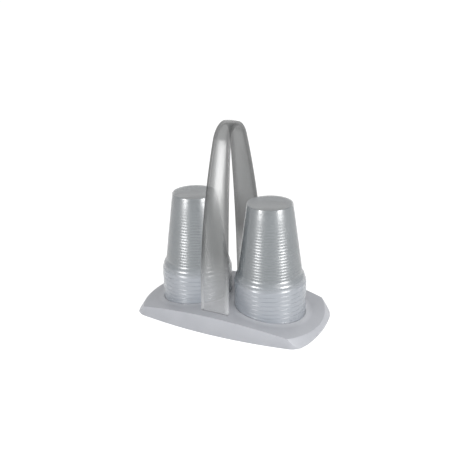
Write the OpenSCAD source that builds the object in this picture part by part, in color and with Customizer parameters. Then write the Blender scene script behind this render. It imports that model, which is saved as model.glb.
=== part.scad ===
// Holder for disposable cups: a crowned base with two sunk seats, a clear arch handle of
// channel section, and two stacks of nested cups that stand mouth down in the seats.
// Millimetres, +Z up. The origin is at the middle of the base, on the table.
// X runs along the base and Y across it, from the front to the back.

/* [Base] */
// length of the base
base_len = 190; // [170:1:240]
// width of the base at mid length
base_wid = 105; // [100:0.5:140]
// radius of the bowed long sides
side_r = 450; // [250:10:900]
// radius of the bowed ends
end_r = 146; // [90:1:300]
// corner radius in plan
corner_r = 17; // [10:0.5:30]
// height of the upright edge at the foot of each end
end_step = 2.6; // [1:0.1:5]
// how far the ends lean in above that edge, for each millimetre up
end_lean = 0.65; // [0.3:0.05:0.9]
// height of the crown at mid length
crown_h = 19; // [17:0.5:26]
// radius of the crowned top, along the length
crown_r = 353; // [330:1:900]
// moulded wall of the base
wall = 2.4; // [1.8:0.1:3.2]
// stiffening ribs under the base
rib_t = 1.6; // [1:0.1:2.4]
// how far the ribs stop above the table
rib_gap = 1.5; // [0.5:0.1:3]

/* [Seats] */
// distance of each seat's axis from the middle
seat_x = 40.2; // [38:0.1:46]
// height of the seat's floor above the table
seat_z = 9.5; // [6:0.1:10]
// room between the cup's mouth and the seat's wall
seat_clear = 1; // [0.3:0.1:2]

/* [Handle] */
// height of the arch above the table
arch_h = 196; // [160:1:240]
// half of the arch's outer span where it meets the base
arch_half = 42; // [34:0.5:45]
// outer radius at the top of the arch
arch_top_r = 20; // [16:0.5:26]
// width of the arch at its feet
foot_w = 29; // [24:0.5:32]
// width of the arch at its top
top_w = 14.4; // [12:0.1:24]
// thickness of the arch's outer web
web_t = 2.4; // [1.6:0.1:3.5]
// thickness of the two side flanges
flange_t = 2.2; // [1.6:0.1:3.5]
// depth of the channel, web included
channel_d = 4.6; // [4:0.2:10]
// height of the socket floor that the feet stand on
foot_z = 8; // [6:0.5:12]
// room round each foot in its socket
foot_clear = 0.2; // [0.1:0.05:0.5]

/* [Cups] */
// cups in each stack
cups = 8; // [1:1:10]
// step from one cup to the next in a stack
cup_step = 4.5; // [4.2:0.1:6]
// height of one cup
cup_h = 81; // [70:0.5:100]
// outer radius at the mouth
mouth_r = 35; // [34:0.1:37]
// outer radius of the wall just above the shoulder
shoulder_r = 30.7; // [29:0.1:32]
// outer radius of the wall where it meets the foot ring
small_r = 22.3; // [20:0.1:24]
// height of the mouth band
band_h = 3.8; // [2.5:0.1:4]
// thickness of the mouth band
band_t = 0.7; // [0.5:0.05:1]
// height of the top of the shoulder
shoulder_z = 13.5; // [11:0.1:16]
// thickness of the cup's wall
cup_wall = 0.3; // [0.25:0.01:0.35]
// height of each ring on the cup's wall
ring_h = 0.2; // [0.05:0.01:0.2]
// step between the rings
ring_step = 2.8; // [2:0.1:4]
// rings on the cup's wall
rings = 22; // [0:1:22]

/* [Hidden] */
side_names = ["left", "right"];

$fn = 180;
// a touch more radius where two arcs run into each other, so that they cross cleanly
arc_over = 0.03;
half_l = base_len / 2;
half_w = base_wid / 2;
seat_r = mouth_r + seat_clear;
big = 2 * base_len;

// Arcs of the base's outline: each side arc is centred on (0, -+side_c) and each end arc on
// (-+end_c, 0), and the corner circle that touches both is centred on (corner_x, corner_y).
side_c = side_r - half_w;
end_c = end_r - half_l;
side_in = side_r - corner_r;
end_in = end_r - corner_r;
arc_gap = norm([end_c, side_c]);
arc_along = (arc_gap * arc_gap + side_in * side_in - end_in * end_in) / (2 * arc_gap);
arc_off = sqrt(side_in * side_in - arc_along * arc_along);
corner_x = (-end_c * arc_along + side_c * arc_off) / arc_gap;
corner_y = -side_c + (side_c * arc_along + end_c * arc_off) / arc_gap;
corner_a_end = atan2(corner_y, corner_x + end_c);
corner_a_side = atan2(corner_y + side_c, corner_x);

// Arch: each leg is an arc of radius leg_r centred on (-+leg_c, crown_h), and it runs into the
// top arc where the line through the two centres meets it, at the angle arch_a.
top_z = arch_h - arch_top_r;
leg_rise = top_z - crown_h;
leg_r = (arch_half * arch_half + leg_rise * leg_rise - arch_top_r * arch_top_r)
      / (2 * (arch_half - arch_top_r));
leg_c = leg_r - arch_half;
arch_a = atan2(leg_rise, leg_c);
// arc that narrows the arch from foot_w to top_w
taper_drop = (foot_w - top_w) / 2;
taper_rise = arch_h - crown_h;
taper_r = (taper_rise * taper_rise + taper_drop * taper_drop) / (2 * taper_drop);

function mix(a, b, t) = a + (b - a) * t;

// BASE

// the base's outline in plan, moved in by an inset: four bowed sides with their sharp corners
// cut off along the chord of the corner circle, and the four corner circles
module outline(inset) {
    r = corner_r - inset;
    chord_a = (corner_a_end + corner_a_side) / 2;
    chord_d = r * cos((corner_a_side - corner_a_end) / 2);
    difference() {
        intersection() {
            intersection_for (s = [-1, 1])
                translate([0, s * side_c])
                    circle(r = side_r - inset, $fn = 1440);
            intersection_for (s = [-1, 1])
                translate([s * end_c, 0])
                    circle(r = end_r - inset, $fn = 720);
        }
        for (mx = [0, 1], my = [0, 1])
            mirror([mx, 0]) mirror([0, my])
                translate([corner_x, corner_y])
                    rotate(chord_a)
                        translate([chord_d, -half_w])
                            square([half_w, 2 * half_w]);
    }
    for (mx = [0, 1], my = [0, 1])
        mirror([mx, 0]) mirror([0, my])
            translate([corner_x, corner_y])
                circle(r = r + arc_over);
}

// a cone about the middle that gives the ends and corners their lean, moved in by an inset
module lean_cone(inset, floor_z) {
    cone_r = half_l + end_step * end_lean - inset * norm([1, end_lean]);
    translate([0, 0, floor_z])
        cylinder(r1 = cone_r - end_lean * floor_z,
                 r2 = cone_r - end_lean * (crown_h + 1),
                 h = crown_h + 1 - floor_z,
                 $fn = 360);
}

// the base's outer form under the crowned top, or the same form moved in by an inset
module base_form(inset, floor_z) {
    intersection() {
        translate([0, 0, floor_z])
            linear_extrude(height = crown_h + 1 - floor_z)
                outline(inset);
        lean_cone(inset, floor_z);
        translate([0, 0, crown_h - crown_r])
            rotate([90, 0, 0])
                cylinder(r = crown_r - inset, h = big, center = true, $fn = 720);
    }
}

module seats(r, z) {
    for (s = [-1, 1])
        translate([s * seat_x, 0, z])
            cylinder(r = r, h = crown_h);
}

// blocks under the top that take the handle's feet
module socket_blocks() {
    block_in = arch_half - channel_d - foot_clear - wall;
    block_out = arch_half + foot_clear + wall;
    for (s = [-1, 1])
        translate([-foot_w / 2 - foot_clear - wall,
                   s > 0 ? block_in : -block_out,
                   foot_z - wall])
            cube([foot_w + 2 * foot_clear + 2 * wall, block_out - block_in, crown_h]);
}

module ribs() {
    rib_y = seat_r / 2;
    for (s = [-1, 1])
        translate([-half_l, s * rib_y - rib_t / 2, rib_gap])
            cube([base_len, rib_t, crown_h]);
    for (x = [-seat_x, 0, seat_x])
        translate([x - rib_t / 2, -half_w, rib_gap])
            cube([rib_t, base_wid, crown_h]);
}

module base() {
    color([0.69, 0.70, 0.73])
        difference() {
            union() {
                difference() {
                    base_form(0, 0);
                    base_form(wall, -1);
                }
                intersection() {
                    base_form(wall / 2, 0);
                    union() {
                        seats(seat_r + wall, seat_z - wall);
                        socket_blocks();
                        ribs();
                    }
                }
            }
            seats(seat_r, seat_z);
            channel(foot_clear);
        }
}

// HANDLE

// area under the arch in the Y-Z plane, moved in by an inset
module arch_area(inset) {
    leg_top = top_z + (arch_top_r - inset) * sin(arch_a);
    intersection() {
        intersection_for (s = [-1, 1])
            translate([s * leg_c, crown_h])
                circle(r = leg_r - inset, $fn = 720);
        translate([-base_wid, 0])
            square([2 * base_wid, leg_top]);
    }
    translate([0, top_z - arc_over])
        circle(r = arch_top_r + arc_over - inset);
}

// the arch's narrowing width in the X-Z plane, moved in by an inset
module taper_area(inset) {
    intersection() {
        intersection_for (s = [-1, 1])
            translate([s * (taper_r - foot_w / 2), crown_h])
                circle(r = taper_r - inset, $fn = 1440);
        translate([-foot_w, 0])
            square([2 * foot_w, arch_h + 10]);
    }
}

module along_x() {
    rotate([90, 0, 90])
        linear_extrude(height = base_wid, center = true)
            children();
}

module along_y() {
    rotate([90, 0, 0])
        linear_extrude(height = 2 * base_wid, center = true)
            children();
}

// the bent channel from the socket floors up, grown all round by some room
module channel(room) {
    difference() {
        intersection() {
            along_x()
                difference() {
                    arch_area(-room);
                    arch_area(channel_d + room);
                }
            along_y()
                taper_area(-room);
            translate([-base_wid, -base_wid, foot_z])
                cube([2 * base_wid, 2 * base_wid, arch_h]);
        }
        intersection() {
            along_x()
                arch_area(web_t + room);
            along_y()
                taper_area(flange_t + room);
        }
    }
}

module handle() {
    color([0.55, 0.57, 0.58, 0.6])
        channel(0);
}

// CUPS

// outer radius of the smooth wall above the shoulder
function wall_r(z) = mix(shoulder_r, small_r, (z - shoulder_z) / (panel_z - shoulder_z));
// top of the panel that closes the small end, which the next cup in the stack stands over
panel_z = cup_h - cup_step + cup_wall;
foot_r = wall_r(cup_h);
// where the lowest ring starts
ring_z = shoulder_z + 0.4;
// inner radius at the mouth, and outer radius where the band ends
bore_r = mouth_r - band_t;
// slope on the cup's outer edges
edge = 0.3;
// shoulder between the mouth band and the wall, as a quarter wave
shoulder_pts = [for (t = [0.2 : 0.2 : 0.8])
    [mix(shoulder_r, bore_r, cos(90 * t) * cos(90 * t) * 0.35 + (1 - t) * 0.65),
     mix(band_h, shoulder_z, t)]];

// the outer line of the wall's rings, from the lowest up
ring_pts = [for (i = [0 : rings - 1], p = [[0.1, 0], [0.36, 1], [0.6, 1], [0.86, 0]])
    let (z = ring_z + (i + p[0]) * ring_step)
    [wall_r(z) + p[1] * ring_h, z]];

module cup() {
    outside = concat(
        [[mouth_r - edge, 0], [mouth_r, edge], [mouth_r, band_h - 2 * edge], [bore_r, band_h]],
        shoulder_pts,
        [[shoulder_r, shoulder_z]],
        ring_pts,
        [[wall_r(panel_z), panel_z], [foot_r, cup_h - edge], [foot_r - edge / 2, cup_h]]);
    well = [[foot_r - cup_wall, cup_h],
            [wall_r(panel_z) - cup_wall, panel_z],
            [0, panel_z]];
    inside = concat(
        [[0, panel_z - cup_wall], [wall_r(panel_z - cup_wall) - cup_wall, panel_z - cup_wall],
         [shoulder_r - cup_wall, shoulder_z]],
        [for (i = [len(shoulder_pts) - 1 : -1 : 0]) shoulder_pts[i] - [cup_wall, 0]],
        [[bore_r - cup_wall, band_h], [bore_r, band_h - 3 * edge], [bore_r, 0]]);
    rotate_extrude()
        polygon(concat(outside, well, inside));
}

module stacked_cup(side, level) {
    color([0.75, 0.77, 0.78, 0.6])
        translate([(side == "left" ? -1 : 1) * seat_x, 0, seat_z + (level - 1) * cup_step])
            cup();
}

base();
handle();
for (s = side_names, i = [1 : cups])
    stacked_cup(s, i);
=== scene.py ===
import math

import bmesh
import bpy
from mathutils import Matrix, Vector


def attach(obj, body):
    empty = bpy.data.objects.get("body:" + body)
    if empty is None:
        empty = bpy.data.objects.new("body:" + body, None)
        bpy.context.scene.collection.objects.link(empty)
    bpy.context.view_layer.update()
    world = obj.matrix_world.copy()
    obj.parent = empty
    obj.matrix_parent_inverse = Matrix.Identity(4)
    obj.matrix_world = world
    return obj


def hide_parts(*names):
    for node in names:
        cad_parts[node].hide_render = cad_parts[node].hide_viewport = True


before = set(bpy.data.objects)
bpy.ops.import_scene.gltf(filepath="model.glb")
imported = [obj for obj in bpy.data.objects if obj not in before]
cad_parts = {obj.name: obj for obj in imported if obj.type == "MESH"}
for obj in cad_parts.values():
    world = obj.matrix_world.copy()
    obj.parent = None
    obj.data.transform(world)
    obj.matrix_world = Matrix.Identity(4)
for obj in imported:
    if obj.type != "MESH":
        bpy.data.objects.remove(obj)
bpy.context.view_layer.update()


# BASE
# One injection-moulded plate in satin light-grey plastic, crowned along its length and hollow
# underneath. Its two sunk seats take the cups' mouths. It keeps the solid's form, and its rim,
# leaning corners, seat lips and foot edge are eased as a moulding's are.
mm = 0.001
weld = 1e-6
seat_x, seat_r, seat_z = 40.2 * mm, 36 * mm, 9.5 * mm
seat_fit, on_wall = 35.1 * mm, 0.05 * mm
corner_ease, rim_round, lip_round, foot_round = 5 * mm, 2.4 * mm, 0.6 * mm, 0.5 * mm
slot_half_x, slot_half_y = 17 * mm, 44 * mm
# how far the painted light round the seats reaches
lit_reach = 6 * mm
flat_angle, sharp_angle, crease_angle = math.radians(0.4), math.radians(32), 0.2
grey_dark, grey_pale, grey_painted_lit = (0.4, 0.41, 0.44), (0.43, 0.44, 0.47), (0.56, 0.57, 0.6)


def new_piece(name, bm, slot, *stands_for):
    """Makes the bmesh an object at the origin that rides on the body and stands for its nodes."""
    for face in bm.faces:
        face.smooth = True
    for edge in bm.edges:
        edge.smooth = edge.is_manifold and edge.calc_face_angle(0) < sharp_angle
    mesh = bpy.data.meshes.new(name)
    bm.to_mesh(mesh)
    piece = bpy.data.objects.new(name, mesh)
    bpy.context.scene.collection.objects.link(piece)
    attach(piece, "root")
    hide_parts(*stands_for)
    return piece


def new_finish(name):
    """A node material with one Principled shader, and the piece's own coordinates to shape it."""
    finish = bpy.data.materials.new(name)
    finish.use_nodes = True
    nodes, links = finish.node_tree.nodes, finish.node_tree.links
    place = nodes.new("ShaderNodeTexCoord")
    return finish, nodes, links, nodes["Principled BSDF"], place.outputs["Object"]


def spread(nodes, links, value, start, end, low, high):
    """Carries a value from one range over to another."""
    ranged = nodes.new("ShaderNodeMapRange")
    ranged.inputs["From Min"].default_value = start
    ranged.inputs["From Max"].default_value = end
    ranged.inputs["To Min"].default_value = low
    ranged.inputs["To Max"].default_value = high
    links.new(value, ranged.inputs["Value"])
    return ranged.outputs["Result"]


def speckle(nodes, links, place, scale, detail, low, high):
    """A noise over the surface, spread between two values."""
    noise = nodes.new("ShaderNodeTexNoise")
    noise.inputs["Scale"].default_value = scale
    noise.inputs["Detail"].default_value = detail
    links.new(place, noise.inputs["Vector"])
    return spread(nodes, links, noise.outputs["Fac"], 0.3, 0.7, low, high)


def tint(nodes, links, factor, at_0, at_1):
    """A colour between two others by a factor. Each is three numbers or another tint."""
    shades = nodes.new("ShaderNodeMix")
    shades.data_type = "RGBA"
    links.new(factor, shades.inputs["Factor"])
    for end, colour in (("A", at_0), ("B", at_1)):
        if isinstance(colour, tuple):
            shades.inputs[end].default_value = (*colour, 1)
        else:
            links.new(colour, shades.inputs[end])
    return shades.outputs["Result"]


def grain(nodes, links, shader, height, strength, depth):
    """A fine moulded grain on the surface."""
    bump = nodes.new("ShaderNodeBump")
    bump.inputs["Strength"].default_value = strength
    bump.inputs["Distance"].default_value = depth
    links.new(height, bump.inputs["Height"])
    links.new(bump.outputs["Normal"], shader.inputs["Normal"])


bm = bmesh.new()
bm.from_mesh(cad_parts["base"].data)
bmesh.ops.remove_doubles(bm, verts=bm.verts, dist=weld)
bmesh.ops.dissolve_limit(bm, angle_limit=flat_angle, verts=bm.verts, edges=bm.edges)

# the seats' walls close in round the cups
for v in bm.verts:
    axis = Vector((math.copysign(seat_x, v.co.x), 0, v.co.z))
    if v.co.z > seat_z - 0.5 * mm and abs((v.co - axis).length - seat_r) < on_wall:
        v.co = axis + (v.co - axis) * seat_fit / seat_r


def base_edges(wanted):
    """The base's edges of one kind, told by how far up their faces point and where they lie."""
    level, leaning, steep, upright = 0.9, 0.7, 0.3, 0.1
    found = []
    for edge in bm.edges:
        if len(edge.link_faces) != 2:
            continue
        low, high = sorted(face.normal.z for face in edge.link_faces)
        mid = (edge.verts[0].co + edge.verts[1].co) / 2
        off_seat = math.hypot(abs(mid.x) - seat_x, mid.y)
        in_slot = abs(mid.x) < slot_half_x and abs(mid.y) < slot_half_y
        kind = ""
        if -upright < low < leaning and high > level and mid.z > 4 * mm:
            if abs(off_seat - seat_fit) < 0.2 * mm and mid.z > seat_z + 0.5 * mm:
                kind = "lip"
            elif off_seat > seat_r + 1 * mm and not in_slot:
                kind = "rim"
        elif abs(low) < steep < high < leaning and edge.calc_face_angle(0) > crease_angle:
            kind = "corner"
        elif low < -level and abs(high) < upright and mid.z < 0.1 * mm:
            kind = "foot"
        if kind == wanted:
            found.append(edge)
    return found


for kind, radius, steps in (("corner", corner_ease, 6), ("rim", rim_round, 5),
                            ("lip", lip_round, 3), ("foot", foot_round, 2)):
    bmesh.ops.bevel(bm, geom=base_edges(kind), offset=radius, segments=steps, profile=0.5,
                    affect="EDGES", material=-1, clamp_overlap=True)
    bm.normal_update()
base = new_piece("base_plate", bm, "base_plastic", "base")
bm.free()

# satin plastic with a fine grain, and painted light round the seats: paler there, standing in for light
# that passes through the cups
satin_grey, nodes, links, shader, place = new_finish("satin_grey")
mottle = speckle(nodes, links, place, 60, 3, 0, 1)
plain_tint = tint(nodes, links, mottle, grey_dark, grey_pale)
lit_fold = nodes.new("ShaderNodeVectorMath")
lit_fold.operation = "ABSOLUTE"
links.new(place, lit_fold.inputs[0])
lit_flat = nodes.new("ShaderNodeVectorMath")
lit_flat.operation = "MULTIPLY"
links.new(lit_fold.outputs["Vector"], lit_flat.inputs[0])
lit_flat.inputs[1].default_value = (1, 1, 0)
lit_off = nodes.new("ShaderNodeVectorMath")
lit_off.operation = "DISTANCE"
links.new(lit_flat.outputs["Vector"], lit_off.inputs[0])
lit_off.inputs[1].default_value = (seat_x, 0, 0)
# painted light: paler within reach of each seat's edge
seat_lit = spread(nodes, links, lit_off.outputs["Value"], seat_r, seat_r + lit_reach, 1, 0)
links.new(tint(nodes, links, seat_lit, plain_tint, grey_painted_lit), shader.inputs["Base Color"])
links.new(speckle(nodes, links, place, 140, 4, 0.36, 0.48), shader.inputs["Roughness"])
grain(nodes, links, shader, speckle(nodes, links, place, 2600, 2, 0, 1), 0.12, 0.05 * mm)
base.data.materials.append(satin_grey)


# HANDLE
# A tall arch moulded in clear smoke-grey plastic: a bent channel with a crowned outer web and two
# side flanges, narrowing from its feet to its top. Its feet push into sockets in the base.
arch_h, arch_half, arch_top_r = 196 * mm, 42 * mm, 20 * mm
crown_h, foot_z = 19 * mm, 8 * mm
foot_w, top_w = 29 * mm, 14.4 * mm
web_t, flange_t, channel_d = 2.4 * mm, 2.2 * mm, 4.6 * mm
web_crown, web_crown_r = 1.2 * mm, 50 * mm
corner_round, side_in = 0.7 * mm, 3.2 * mm
web_parts, leg_steps, top_steps = 6, 30, 16
# heights between which the painted light at the feet turns to painted shade above
lit_foot_z, shaded_top_z = 20 * mm, 80 * mm
web_painted_lit, web_painted_shade = (0.48, 0.485, 0.49), (0.175, 0.18, 0.18)
# the flanges' painted shade for the dark edges of clear plastic, paler at the feet as painted light
flange_painted_lit, flange_painted_shade = (0.5, 0.51, 0.52), (0.06, 0.062, 0.063)
foot_fill, top_fill, flange_fill, lamp_share = 0.28, 0.66, 0.6, 0.1

top_z = arch_h - arch_top_r
leg_rise = top_z - crown_h
leg_r = (arch_half ** 2 + leg_rise ** 2 - arch_top_r ** 2) / (2 * (arch_half - arch_top_r))
leg_c = leg_r - arch_half
arch_a = math.atan2(leg_rise, leg_c)
foot_a = math.asin((crown_h - foot_z) / leg_r)
taper_drop = (foot_w - top_w) / 2
taper_rise = arch_h - crown_h
taper_r = (taper_rise ** 2 + taper_drop ** 2) / (2 * taper_drop)


def arch_half_width(z):
    """Half of the arch's width at a height, along the arc that narrows it."""
    return foot_w / 2 - taper_r + math.sqrt(taper_r ** 2 - (z - crown_h) ** 2)


def by_ray(nodes, links, kinds, otherwise, level):
    """One level for some kinds of ray, and another for the rest."""
    path = nodes.new("ShaderNodeLightPath")
    any_of = path.outputs[kinds[0]]
    for kind in kinds[1:]:
        most = nodes.new("ShaderNodeMath")
        most.operation = "MAXIMUM"
        links.new(any_of, most.inputs[0])
        links.new(path.outputs[kind], most.inputs[1])
        any_of = most.outputs["Value"]
    return spread(nodes, links, any_of, 0, 1, otherwise, level)


# the channel's section at a foot, swept up one leg and over the top to the middle
bm = bmesh.new()
edge_on = bm.verts.layers.float.new("edge_on")
half = foot_w / 2
inner = half - flange_t
web_out = [(half * k / web_parts, 0) for k in range(-web_parts, web_parts + 1)]
web_in = [(inner * k / web_parts, web_t) for k in range(web_parts, -web_parts - 1, -1)]
section = web_out + [(half, channel_d), (inner, channel_d)]
section += web_in + [(-inner, channel_d), (-half, channel_d)]
points = [bm.verts.new((x, -arch_half + depth, crown_h)) for x, depth in section]
for a, b in zip(points, points[1:] + points[:1]):
    bm.edges.new((a, b))
corners = [v for v in points if abs(v.co.x) > inner - 0.01 * mm]
bmesh.ops.bevel(bm, geom=corners, offset=corner_round, segments=3, profile=0.5,
                affect="VERTICES", material=-1, clamp_overlap=True)
leg_centre, top_centre = Vector((0, leg_c, crown_h)), Vector((0, 0, top_z))
bmesh.ops.rotate(bm, verts=bm.verts, cent=leg_centre, matrix=Matrix.Rotation(foot_a, 3, "X"))
foot_end = bmesh.ops.contextual_create(bm, geom=bm.edges[:])["faces"]
outline = [e for f in foot_end for e in f.edges]
outline += [v for f in foot_end for v in f.verts]
swept = bmesh.ops.spin(bm, geom=outline, cent=leg_centre, axis=(1, 0, 0),
                       angle=-(foot_a + arch_a), steps=leg_steps)["geom_last"]
bmesh.ops.spin(bm, geom=swept, cent=top_centre, axis=(1, 0, 0),
               angle=-(math.pi / 2 - arch_a), steps=top_steps)

# narrowed along its taper, its flanges marked and its web crowned, then mirrored to the other leg
for v in bm.verts:
    width = arch_half_width(v.co.z)
    if abs(v.co.x) > half - side_in:
        v.co.x -= math.copysign(half - width, v.co.x)
    else:
        v.co.x *= (width - side_in) / (half - side_in)
    v[edge_on] = min(1, max(0, (abs(v.co.x) - width) / flange_t + 2))
    on_top = v.co.z > top_z - v.co.y * math.tan(arch_a)
    centre, reach = (top_centre, arch_top_r) if on_top else (leg_centre, leg_r)
    outward = Vector((0, v.co.y - centre.y, v.co.z - centre.z))
    depth = reach - outward.length
    web_share = min(1, max(0, (channel_d - depth) / (channel_d - web_t)))
    bend = min(web_crown / width ** 2, 1 / (2 * web_crown_r))
    v.co -= outward.normalized() * bend * v.co.x ** 2 * web_share
bmesh.ops.mirror(bm, geom=bm.verts[:] + bm.edges[:] + bm.faces[:], axis="Y", merge_dist=weld)
bmesh.ops.remove_doubles(bm, verts=bm.verts, dist=weld)
bmesh.ops.recalc_face_normals(bm, faces=bm.faces)
handle = new_piece("arch_handle", bm, "clear_plastic", "handle")
bm.free()

# clear smoke-grey plastic that lets most of the lamps' light through. Its tint is painted light and
# shade by height:
# paler at the feet as painted light, darker above as painted shade; the flanges are painted darker
# still, a painted shade
smoke_clear, nodes, links, shader, place = new_finish("smoke_clear")
shader.inputs["IOR"].default_value = 1.5
climb = nodes.new("ShaderNodeSeparateXYZ")
links.new(place, climb.inputs["Vector"])
# painted light and shade by height: lighter low down, darker up high
lit_to_shaded = spread(nodes, links, climb.outputs["Z"], lit_foot_z, shaded_top_z, 0, 1)
flange = nodes.new("ShaderNodeAttribute")
flange.attribute_name = "edge_on"
web_tint = tint(nodes, links, lit_to_shaded, web_painted_lit, web_painted_shade)
# painted shade on the flanges, darker above and paler at the feet
flange_tint = tint(nodes, links, lit_to_shaded, flange_painted_lit, flange_painted_shade)
links.new(tint(nodes, links, flange.outputs["Fac"], web_tint, flange_tint), shader.inputs["Base Color"])
fill = nodes.new("ShaderNodeMath")
fill.operation = "MAXIMUM"
links.new(spread(nodes, links, lit_to_shaded, 0, 1, foot_fill, top_fill), fill.inputs[0])
links.new(spread(nodes, links, flange.outputs["Fac"], 0, 1, 0, flange_fill), fill.inputs[1])
shade = nodes.new("ShaderNodeMath")
shade.operation = "MULTIPLY"
links.new(fill.outputs["Value"], shade.inputs[0])
links.new(by_ray(nodes, links, ("Is Shadow Ray", "Is Glossy Ray"), 1, lamp_share), shade.inputs[1])
links.new(shade.outputs["Value"], shader.inputs["Alpha"])
links.new(speckle(nodes, links, place, 30, 2, 0.18, 0.22), shader.inputs["Roughness"])
handle.data.materials.append(smoke_clear)


# CUPS
# Sixteen thin vending cups in frosted clear plastic, stacked eight to a side with their mouths
# down. Each is drawn from one thin sheet: a stiff mouth band, a shoulder, a wall of low rings
# that fade towards the top, and a nearly flush end with a rounded edge.
cups_in_stack, cup_step = 8, 4.5 * mm
cup_h, mouth_r, shoulder_r, small_r = 81 * mm, 35 * mm, 30.7 * mm, 22.3 * mm
band_h, band_t, shoulder_z, cup_wall = 3.8 * mm, 0.7 * mm, 13.5 * mm, 0.3 * mm
lip, band_in, band_bend = 0.3 * mm, 0.2 * mm, 1.4
step_at, step_share, flare_share, flare_bend = 0.4, 0.8, 0.2, 8
ring_h, ring_step, rings, ring_peak = 0.23 * mm, 2.8 * mm, 22, 0.3
faint_rings, top_ring = 14, 0.1
panel_in, end_round = 0.4 * mm, 0.6 * mm
shoulder_parts, ring_parts, turn_steps = 12, 6, 96
sheet_tint, band_tint = (0.14, 0.158, 0.17), (0.3, 0.325, 0.36)
cup_fill, cup_lamp_fill = 0.55, 0.1
bore_r = mouth_r - band_t
ring_z = shoulder_z + 0.4 * mm
panel_z = cup_h - cup_step + cup_wall
pale_reach = ring_step * 4


def smooth_r(z):
    """Outer radius above the mouth band, without the rings: the shoulder, then the wall."""
    if z > shoulder_z:
        return shoulder_r + (small_r - shoulder_r) * (z - shoulder_z) / (panel_z - shoulder_z)
    t = (z - band_h) / (shoulder_z - band_h)
    step = math.cos(math.pi / 2 * max(0, (t - step_at) / (1 - step_at))) ** 2
    share = step_share * step + flare_share * (1 - t) ** flare_bend
    return shoulder_r + (bore_r - shoulder_r) * share


def sheet_r(z):
    """Outer radius above the mouth band with the rings, each a low step with a long upper slope."""
    turns = (z - ring_z) / ring_step
    if not 0 < turns < rings:
        return smooth_r(z)
    part = turns % 1
    wave = part / (2 * ring_peak) if part < ring_peak else 1 - (1 - part) / (2 - 2 * ring_peak)
    height = ring_h * min(1, top_ring + (rings - turns) / faint_rings)
    return smooth_r(z) + height * (0.5 - 0.5 * math.cos(2 * math.pi * wave))


def heights(per_ring):
    """Heights from the band to the panel, with a number of them to each ring."""
    low = [band_h + (ring_z - band_h) * k / shoulder_parts for k in range(1, shoulder_parts)]
    return low + [ring_z + ring_step * k / per_ring for k in range(per_ring * rings)]


# each point of the cup's section has its radius, its height and how pale it is painted: paler where the
# sheet lies thicker in the bands, and partly painted light for light passing through the stacked cups
end_r = smooth_r(cup_h)
end_arc = [math.pi / 8 * k for k in range(5)]
panel_r, panel_top = end_r - 2.5 * end_round, cup_h - panel_in
line = [(mouth_r - lip, 0, 1), (mouth_r - 0.1 * lip, 0.3 * lip, 1), (mouth_r, lip, 1)]
line += [(mouth_r - band_in * t ** band_bend, lip + (band_h - lip) * t, 1)
         for t in (0.25, 0.5, 0.75, 1)]
line += [(sheet_r(z), z, max(0, 1 - (z - band_h) / pale_reach)) for z in heights(ring_parts)]
line += [(smooth_r(panel_z), panel_z, 0)]
line += [(end_r - end_round * (1 - math.cos(a)), cup_h - end_round * (1 - math.sin(a)), 0)
         for a in end_arc]
line += [(panel_r, panel_top, 0), (0, panel_top, 0)]
line += [(0, panel_top - cup_wall, 0), (panel_r, panel_top - cup_wall, 0)]
line += [(smooth_r(z) - cup_wall, z, 0) for z in reversed(heights(1))]
line += [(bore_r - cup_wall, band_h, 1), (bore_r, band_h - 3 * lip, 1), (bore_r, 0, 1)]

bm = bmesh.new()
thick_and_lit = bm.verts.layers.float.new("thick_and_lit")
points = []
for r, z, pale in line:
    point = bm.verts.new((r, 0, z))
    point[thick_and_lit] = pale
    points.append(point)
for a, b in zip(points, points[1:] + points[:1]):
    if a.co.x > 0 or b.co.x > 0:
        bm.edges.new((a, b))
bmesh.ops.spin(bm, geom=bm.verts[:] + bm.edges[:], cent=(0, 0, 0), axis=(0, 0, 1),
               angle=2 * math.pi, steps=turn_steps, use_merge=True)
bmesh.ops.remove_doubles(bm, verts=bm.verts, dist=weld)
bmesh.ops.recalc_face_normals(bm, faces=bm.faces)

# frosted plastic under a softer gloss, paler where the bands lie on each other: partly the thicker
# sheet there, partly painted light for the light that passes through the stacked cups
frosted_clear, nodes, links, shader, place = new_finish("frosted_clear")
shader.inputs["IOR"].default_value = 1.59
shader.inputs["Specular IOR Level"].default_value = 0.9
shader.inputs["Coat Weight"].default_value = 1
shader.inputs["Coat Roughness"].default_value = 0.24
shader.inputs["Coat IOR"].default_value = 2
banded = nodes.new("ShaderNodeAttribute")
banded.attribute_name = "thick_and_lit"
links.new(tint(nodes, links, banded.outputs["Fac"], sheet_tint, band_tint), shader.inputs["Base Color"])
links.new(by_ray(nodes, links, ("Is Shadow Ray",), cup_fill, cup_lamp_fill), shader.inputs["Alpha"])
links.new(speckle(nodes, links, place, 40, 1, 0.36, 0.4), shader.inputs["Roughness"])

for side, sign in (("left", -1), ("right", 1)):
    for level in range(1, cups_in_stack + 1):
        stacked = bm.copy()
        lift = seat_z + (level - 1) * cup_step
        bmesh.ops.translate(stacked, verts=stacked.verts, vec=(sign * seat_x, 0, lift))
        cup = new_piece(f"stacked_cup_{side}_{level}", stacked, "cup_plastic",
                        f"cup_{side}_{level}")
        cup.data.materials.append(frosted_clear)
        stacked.free()
bm.free()


# TABLE AND BACKDROP
# A wide white sheet under the object and a white room round it. They show white to the camera, in
# reflections and through clear plastic, and the sheet is darkened where the object shades it.
sheet_half, sheet_grey, sheet_glow, room_light = 6, (0.4, 0.4, 0.4, 1), 0.84, 0.38
in_view = ("Is Camera Ray", "Is Glossy Ray", "Is Transmission Ray")

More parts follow.
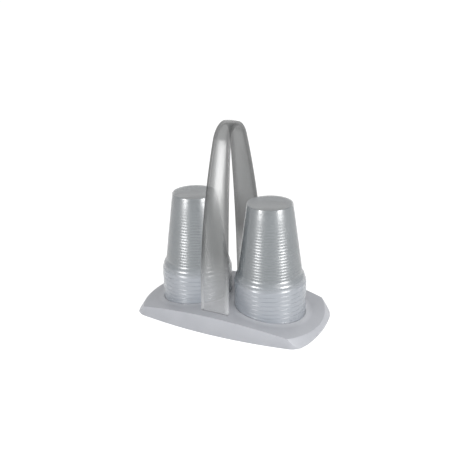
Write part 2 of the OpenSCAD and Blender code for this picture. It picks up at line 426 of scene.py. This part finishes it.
bm = bmesh.new()
bmesh.ops.create_grid(bm, x_segments=2, y_segments=2, size=sheet_half)
sheet_mesh = bpy.data.meshes.new("table_sheet")
bm.to_mesh(sheet_mesh)
bm.free()
table = bpy.data.objects.new("table_sheet", sheet_mesh)
bpy.context.scene.collection.objects.link(table)
white_sheet, nodes, links, shader, place = new_finish("white_sheet")
shader.inputs["Base Color"].default_value = sheet_grey
shader.inputs["Roughness"].default_value = 0.9
glow = nodes.new("ShaderNodeEmission")
links.new(by_ray(nodes, links, in_view, 0, sheet_glow), glow.inputs["Strength"])
lit_sheet = nodes.new("ShaderNodeAddShader")
links.new(shader.outputs["BSDF"], lit_sheet.inputs[0])
links.new(glow.outputs["Emission"], lit_sheet.inputs[1])
links.new(lit_sheet.outputs["Shader"], nodes["Material Output"].inputs["Surface"])
table.data.materials.append(white_sheet)

world = bpy.data.worlds.new("white_room")
bpy.context.scene.world = world
world.use_nodes = True
nodes, links = world.node_tree.nodes, world.node_tree.links
room = nodes["Background"]
room.inputs["Color"].default_value = (1, 1, 1, 1)
links.new(by_ray(nodes, links, in_view, room_light, 1), room.inputs["Strength"])


# LIGHTS AND CAMERA
# Two low softboxes, one in front to the left and one at the right end, a wide weak panel high over
# the right one, and a camera that looks down on the object from the front and a little right.
lamp_aim = Vector((0, 0, 90 * mm))
photo_px, focal_px, sensor_w = 470, 721.79, 36
look_at, stand_off = Vector((3.1 * mm, 0, 83.73 * mm)), 698.64 * mm
azimuth, elevation, roll = math.radians(26.89), math.radians(22.14), math.radians(-1.15)


def softbox(name, around, distance, height, width, tall, power):
    """An area lamp at an angle round the object, turned to its middle."""
    lamp = bpy.data.lights.new(name, "AREA")
    lamp.shape = "RECTANGLE"
    lamp.size, lamp.size_y, lamp.energy = width, tall, power
    box = bpy.data.objects.new(name, lamp)
    turn = math.radians(around)
    box.location = (distance * math.sin(turn), -distance * math.cos(turn), height)
    box.rotation_euler = (lamp_aim - box.location).to_track_quat("-Z", "Y").to_euler()
    bpy.context.scene.collection.objects.link(box)


softbox("softbox_left", around=-22, distance=1.1, height=0.31, width=0.36, tall=0.34, power=7.4)
softbox("softbox_right", around=73, distance=1.1, height=0.31, width=0.4, tall=0.34, power=8.6)
softbox("high_panel", around=70, distance=1.2, height=1.1, width=1.2, tall=1.2, power=5)

camera_data = bpy.data.cameras.new("front_camera")
camera_data.sensor_width = sensor_w
camera_data.lens = sensor_w * focal_px / photo_px
camera_data.clip_start = 50 * mm
camera = bpy.data.objects.new("front_camera", camera_data)
back = Vector((math.sin(azimuth) * math.cos(elevation),
               -math.cos(azimuth) * math.cos(elevation), math.sin(elevation)))
right = Vector((math.cos(azimuth), math.sin(azimuth), 0))
up = back.cross(right)
turned_right = right * math.cos(roll) + up * math.sin(roll)
turned_up = up * math.cos(roll) - right * math.sin(roll)
stand = Matrix((turned_right, turned_up, back)).transposed().to_4x4()
stand.translation = look_at + back * stand_off
camera.matrix_world = stand
bpy.context.scene.collection.objects.link(camera)
bpy.context.scene.camera = camera
bpy.context.scene.view_settings.view_transform = "Standard"
bpy.context.scene.cycles.transparent_max_bounces = 96
